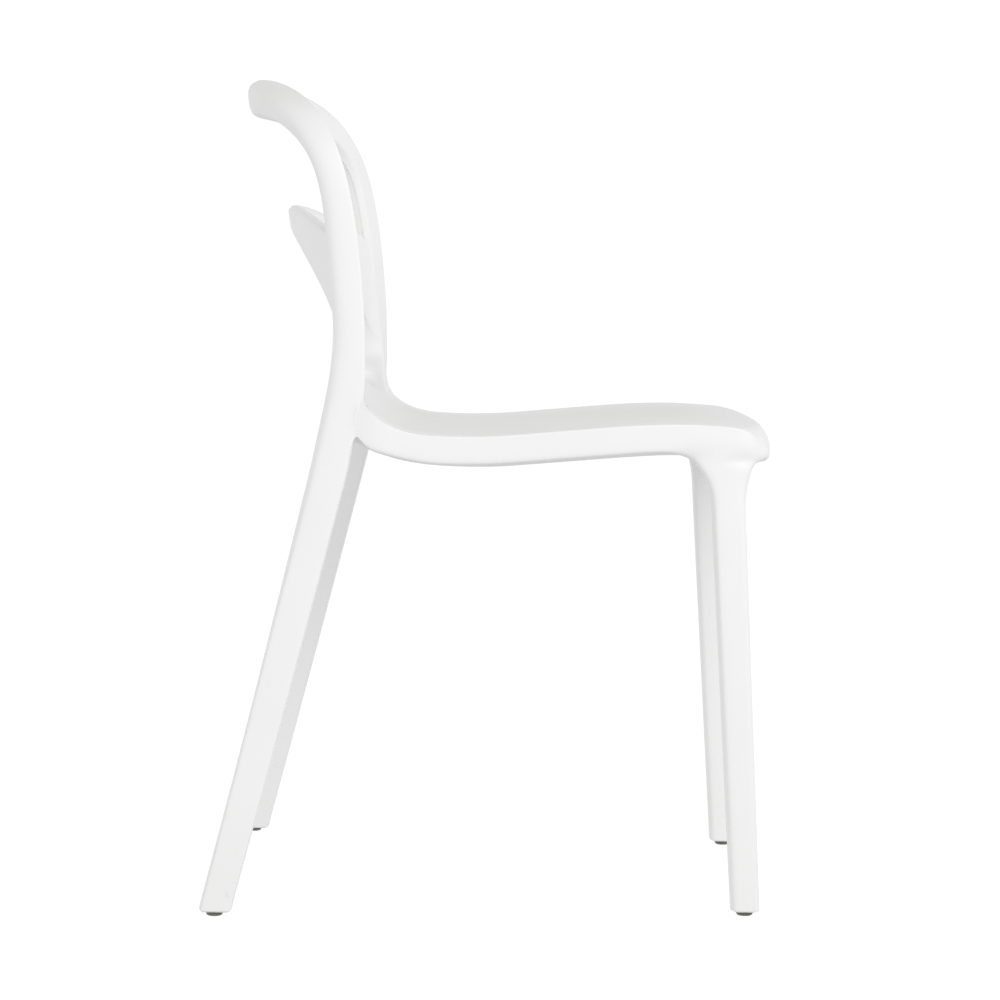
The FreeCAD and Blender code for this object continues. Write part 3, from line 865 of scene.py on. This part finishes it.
def to_object(bm, name):
    mesh = bpy.data.meshes.new(name)
    bm.to_mesh(mesh)
    bm.free()
    for polygon in mesh.polygons:
        polygon.use_smooth = True
    made = bpy.data.objects.new(name, mesh)
    bpy.context.scene.collection.objects.link(made)
    return made


def turn_round(bm, line, steps, merge):
    """Turns a line of points round Z into a shell."""
    edges = [bm.edges.new(pair) for pair in zip(line, line[1:])]
    bmesh.ops.spin(bm, geom=line + edges, cent=(0, 0, 0), axis=(0, 0, 1), dvec=(0, 0, 0),
                   angle=math.radians(360), steps=steps, use_merge=True, use_duplicate=False)
    bmesh.ops.remove_doubles(bm, verts=bm.verts, dist=merge)
    bmesh.ops.recalc_face_normals(bm, faces=bm.faces)


def subdivide(made, levels):
    modifier = made.modifiers.new("Smooth surface", "SUBSURF")
    modifier.levels = levels
    modifier.render_levels = levels


class CHAIR_OT_moulding(bpy.types.Operator):
    """Model the one-piece moulding: seat, legs, posts, top rail and lumbar rail"""
    bl_idname = "chair.moulding"
    bl_label = "Moulding"

    def execute(self, context):
        s = context.scene.chair_shape
        bm = bmesh.new()
        moulding_cage(bm, s)
        bmesh.ops.mirror(bm, geom=list(bm.verts) + list(bm.edges) + list(bm.faces),
                         matrix=Matrix.Identity(4), merge_dist=0.05 * MM, axis="X")
        bmesh.ops.recalc_face_normals(bm, faces=list(bm.faces))
        if any(not e.is_manifold for e in bm.edges):
            raise RuntimeError("the moulding isn't closed")
        settle(bm, 6)
        made = to_object(bm, "moulding")
        made.data.materials.append(moulding_finish(context.scene.chair_finish))
        subdivide(made, 2)
        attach(made, "root")
        stands_for = ["seat_panel", "front_beam", "rear_beam", "top_rail", "lumbar_rail"]
        for side in ("left", "right"):
            stands_for += [part + "_" + side for part in ("side_beam", "front_leg", "rear_leg", "back_post")]
        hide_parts(*stands_for)
        return {"FINISHED"}


ENDS = ("rear_left", "rear_right", "front_left", "front_right")


def mirror_half(bm):
    """Turns a left-hand piece into its right-hand one."""
    bmesh.ops.scale(bm, vec=(-1, 1, 1), verts=bm.verts)
    bmesh.ops.recalc_face_normals(bm, faces=bm.faces)


class CHAIR_OT_inserts(bpy.types.Operator):
    """Model the plug in the hollow end of each leg"""
    bl_idname = "chair.inserts"
    bl_label = "Leg inserts"

    def execute(self, context):
        finish = context.scene.chair_finish
        moulding = Moulding(context.scene.chair_shape)
        material = insert_finish(finish)
        wall = context.scene.chair_shape.leg_wall + PLUG_GAP
        for end in ENDS:
            foot = moulding.member if end.startswith("rear") else moulding.front_leg
            bm = bmesh.new()
            bmesh.ops.create_grid(bm, x_segments=3, y_segments=3, size=1.5)
            face_z = FOOT_Z + PLUG_INSET
            for v in bm.verts:
                i, j = round(v.co.x + 1.5), round(1.5 + v.co.y)
                v.co = moulding.socket(foot, i, j, wall, face_z)
            top = bmesh.ops.extrude_face_region(bm, geom=list(bm.faces))["geom"]
            bmesh.ops.translate(bm, vec=(0, 0, SOCKET_DEPTH - 2 * PLUG_INSET),
                                verts=[g for g in top if isinstance(g, bmesh.types.BMVert)])
            bmesh.ops.recalc_face_normals(bm, faces=bm.faces)
            below = [f for f in bm.faces if f.normal.z < -0.9]
            bmesh.ops.inset_region(bm, faces=below, thickness=1.6 * MM, depth=0)
            below = [f for f in bm.faces if f.normal.z < -0.9 and all(
                g.normal.z < -0.9 for e in f.edges for g in e.link_faces)]
            bmesh.ops.inset_region(bm, faces=below, thickness=0.5 * MM, depth=-1.1 * MM)
            sharp = [e for e in bm.edges if e.is_manifold and e.calc_face_angle() > math.radians(40)]
            bmesh.ops.bevel(bm, geom=sharp, offset=0.35 * MM, segments=2, profile=0.5, affect="EDGES",
                            material=-1)
            if end.endswith("right"):
                mirror_half(bm)
            made = to_object(bm, "insert_" + end)
            made.data.materials.append(material)
            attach(made, "root")
            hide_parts("foot_insert_" + end)
        return {"FINISHED"}


class CHAIR_OT_glides(bpy.types.Operator):
    """Turn the four glides the chair stands on"""
    bl_idname = "chair.glides"
    bl_label = "Glides"

    def execute(self, context):
        material = glide_finish(context.scene.chair_finish)
        for end in ENDS:
            low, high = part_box("glide_" + end)
            middle = (low + high) / 2
            bm = bmesh.new()
            radius = (high.x - low.x) / 2
            rows = [bm.verts.new((share * radius, 0, height * MM)) for share, height in GLIDE_PROFILE]
            rows.append(bm.verts.new((GLIDE_STEM, 0, high.z - 0.8 * MM)))
            rows.append(bm.verts.new((GLIDE_STEM - 0.8 * MM, 0, high.z)))
            rows.append(bm.verts.new((0, 0, high.z)))
            turn_round(bm, rows, 40, 0.01 * MM)
            bmesh.ops.translate(bm, vec=(middle.x, middle.y, low.z), verts=bm.verts)
            made = to_object(bm, "glide_" + end + "_turned")
            sharp = made.modifiers.new("Rounded edges", "BEVEL")
            sharp.width = 0.15 * MM
            sharp.segments = 2
            sharp.limit_method = "ANGLE"
            sharp.angle_limit = math.radians(35)
            made.data.materials.append(material)
            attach(made, "root")
            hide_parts("glide_" + end)
        return {"FINISHED"}


# Camera: place, focal length as a multiple of the sensor's width, and turns in degrees
CAMERA_PLACE = (-3.49518, -0.0319, 0.63644)
CAMERA_FOCUS = 3.52968
CAMERA_YAW = -0.4406
CAMERA_PITCH = 4.2744
CAMERA_ROLL = 0.8183
# The floor's section from the middle outwards, as it runs up into the backdrop: distance and height
BACKDROP = ((0, 0), (2.5, 0), (5, 0), (6.2, 0.3), (7.1, 1.1), (7.6, 2.4), (7.8, 4.5), (7.8, 9))
KEY_PLACE = (-2.6, -1.3, 2.2)
KEY_TARGET = (0, 0, 0.4)


def look_along(camera, place, yaw, pitch, roll):
    """Puts the camera at a place, looking along +X, turned by yaw, then pitched down, then rolled."""
    forward = Vector((1, 0, 0))
    right = Vector((0, -1, 0))
    up = Vector((0, 0, 1))
    forward, right = (forward * math.cos(yaw) + right * math.sin(yaw),
                      right * math.cos(yaw) - forward * math.sin(yaw))
    forward, up = (forward * math.cos(pitch) - up * math.sin(pitch),
                   up * math.cos(pitch) + forward * math.sin(pitch))
    right, up = right * math.cos(roll) + up * math.sin(roll), up * math.cos(roll) - right * math.sin(roll)
    turn = Matrix((right, up, -forward)).transposed().to_4x4()
    camera.matrix_world = Matrix.Translation(place) @ turn


class CHAIR_OT_stage(bpy.types.Operator):
    """Set the pale floor, the soft lights and the camera"""
    bl_idname = "chair.stage"
    bl_label = "Stage"

    def execute(self, context):
        scene = context.scene
        scene.view_settings.view_transform = "Standard"
        data = bpy.data.cameras.new("Camera")
        data.sensor_width = 36
        data.lens = CAMERA_FOCUS * data.sensor_width
        data.clip_end = 100
        camera = bpy.data.objects.new("Camera", data)
        scene.collection.objects.link(camera)
        look_along(camera, Vector(CAMERA_PLACE),
                   math.radians(CAMERA_YAW), math.radians(CAMERA_PITCH), math.radians(CAMERA_ROLL))
        scene.camera = camera

        stage = scene.chair_stage
        bm = bmesh.new()
        turn_round(bm, [bm.verts.new((out, 0, up)) for out, up in BACKDROP], 64, MM)
        bmesh.ops.reverse_faces(bm, faces=bm.faces)
        floor = to_object(bm, "floor")
        floor.data.materials.append(floor_finish(stage))
        floor.visible_diffuse = False
        floor.visible_glossy = False
        floor.visible_shadow = False

        light = bpy.data.lights.new("Key", "AREA")
        light.shape = "DISK"
        light.size = 2.4
        light.energy = stage.key
        key = bpy.data.objects.new("Key", light)
        place = Vector(KEY_PLACE)
        turn = (place - Vector(KEY_TARGET)).to_track_quat("Z", "Y")
        key.matrix_world = Matrix.Translation(place) @ turn.to_matrix().to_4x4()
        scene.collection.objects.link(key)

        world = bpy.data.worlds.new("Studio")
        scene.world = world
        sky = Nodes(world)
        place = sky.node("ShaderNodeTexCoord", output="Generated")
        up = sky.node("ShaderNodeSeparateXYZ", values={0: place}, output="Z")
        strength = sky.node("ShaderNodeMapRange", values={
            "Value": up * up, "To Min": stage.horizon, "To Max": stage.sky})
        glow = sky.node("ShaderNodeBackground", values={"Color": (1, 1, 1, 1), "Strength": strength})
        sky.end(glow, "ShaderNodeOutputWorld")
        return {"FINISHED"}


class CHAIR_PT_panel(bpy.types.Panel):
    """Sizes, finishes and the buttons that make the chair"""
    bl_idname = "CHAIR_PT_panel"
    bl_label = "Stacking chair"
    bl_space_type = "VIEW_3D"
    bl_region_type = "UI"
    bl_category = "Chair"

    def draw(self, context):
        for group in ("chair_shape", "chair_finish", "chair_stage"):
            settings = getattr(context.scene, group)
            box = self.layout.box()
            for name in settings.bl_rna.properties.keys():
                if name not in ("rna_type", "name"):
                    box.prop(settings, name)
        for operator in (CHAIR_OT_stage, CHAIR_OT_moulding, CHAIR_OT_inserts, CHAIR_OT_glides):
            self.layout.operator(operator.bl_idname)


CLASSES = (ChairShape, ChairFinish, ChairStage, CHAIR_OT_stage, CHAIR_OT_moulding, CHAIR_OT_inserts,
           CHAIR_OT_glides, CHAIR_PT_panel)


def register():
    for cls in CLASSES:
        bpy.utils.register_class(cls)
    bpy.types.Scene.chair_shape = PointerProperty(type=ChairShape)
    bpy.types.Scene.chair_finish = PointerProperty(type=ChairFinish)
    bpy.types.Scene.chair_stage = PointerProperty(type=ChairStage)


def unregister():
    del bpy.types.Scene.chair_stage
    del bpy.types.Scene.chair_finish
    del bpy.types.Scene.chair_shape
    for cls in reversed(CLASSES):
        bpy.utils.unregister_class(cls)


def main():
    register()
    bpy.ops.chair.stage()
    bpy.ops.chair.moulding()
    bpy.ops.chair.inserts()
    bpy.ops.chair.glides()


if __name__ == "__main__":
    main()
